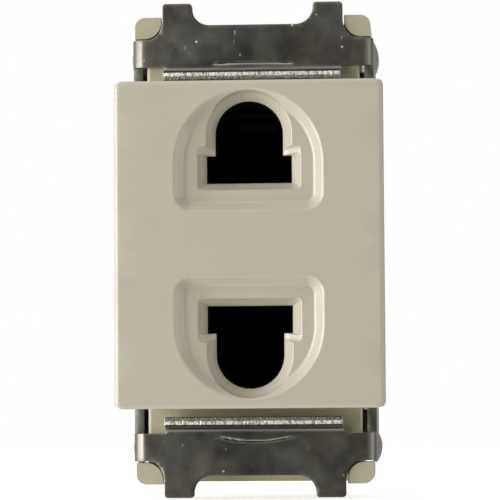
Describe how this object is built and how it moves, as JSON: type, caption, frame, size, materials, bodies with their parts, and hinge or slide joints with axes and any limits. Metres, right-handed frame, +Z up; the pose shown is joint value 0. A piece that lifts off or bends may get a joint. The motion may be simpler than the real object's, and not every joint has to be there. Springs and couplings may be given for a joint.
{
  "type": "wall outlet module",
  "caption": "Interchangeable wall outlet module: rectangular face with bell-shaped pin openings in shallow dishes, cream body behind, sheet-metal straps with ears at both ends.",
  "frame": {"origin": "middle of the mounting plane: centred on the module, level with the front of the strap ears", "axes": "+Z up along the long side, -Y out of the face toward the room, +X to the right seen from the room"},
  "size_m": [0.0226, 0.0305, 0.0426],
  "materials": {
    "face_plastic": "fine satin moulding, warm grey-beige",
    "body_plastic": "satin moulding, yellowish cream",
    "holder_plastic": "matt black moulding",
    "button_plastic": "satin white moulding",
    "strap_steel": "dull plated steel sheet with sheared edges",
    "spring_steel": "bright rolled spring steel",
    "contact_bronze": "rolled phosphor bronze",
    "terminal_brass": "rolled brass"
  },
  "bodies": {
    "housing": {"front_cover": "face_plastic", "rear_body": "body_plastic", "contact_holder": "holder_plastic", "top_strap": "strap_steel", "bottom_strap": "strap_steel", "contact_rivets": "terminal_brass", "upper_blade_jaw": "contact_bronze", "upper_pin_jaw": "contact_bronze", "upper_grip_clip": "spring_steel", "upper_terminal_plate": "terminal_brass", "upper_right_lock_spring": "spring_steel", "upper_left_lock_spring": "spring_steel", "lower_blade_jaw": "contact_bronze", "lower_pin_jaw": "contact_bronze", "lower_grip_clip": "spring_steel", "lower_terminal_plate": "terminal_brass", "lower_right_lock_spring": "spring_steel", "lower_left_lock_spring": "spring_steel"},
    "upper_release_button": {"upper_release_button": "button_plastic"},
    "lower_release_button": {"lower_release_button": "button_plastic"}
  },
  "joints": [
    {"name": "upper_release", "type": "slide", "parent": "housing", "child": "upper_release_button", "axis": [0, -1, 0], "range_m": [0, 0.0015], "stiffness_N_per_m": 4000, "deforming": ["upper_right_lock_spring", "upper_left_lock_spring"]},
    {"name": "lower_release", "type": "slide", "parent": "housing", "child": "lower_release_button", "axis": [0, -1, 0], "range_m": [0, 0.0015], "stiffness_N_per_m": 4000, "deforming": ["lower_right_lock_spring", "lower_left_lock_spring"]}
  ]
}
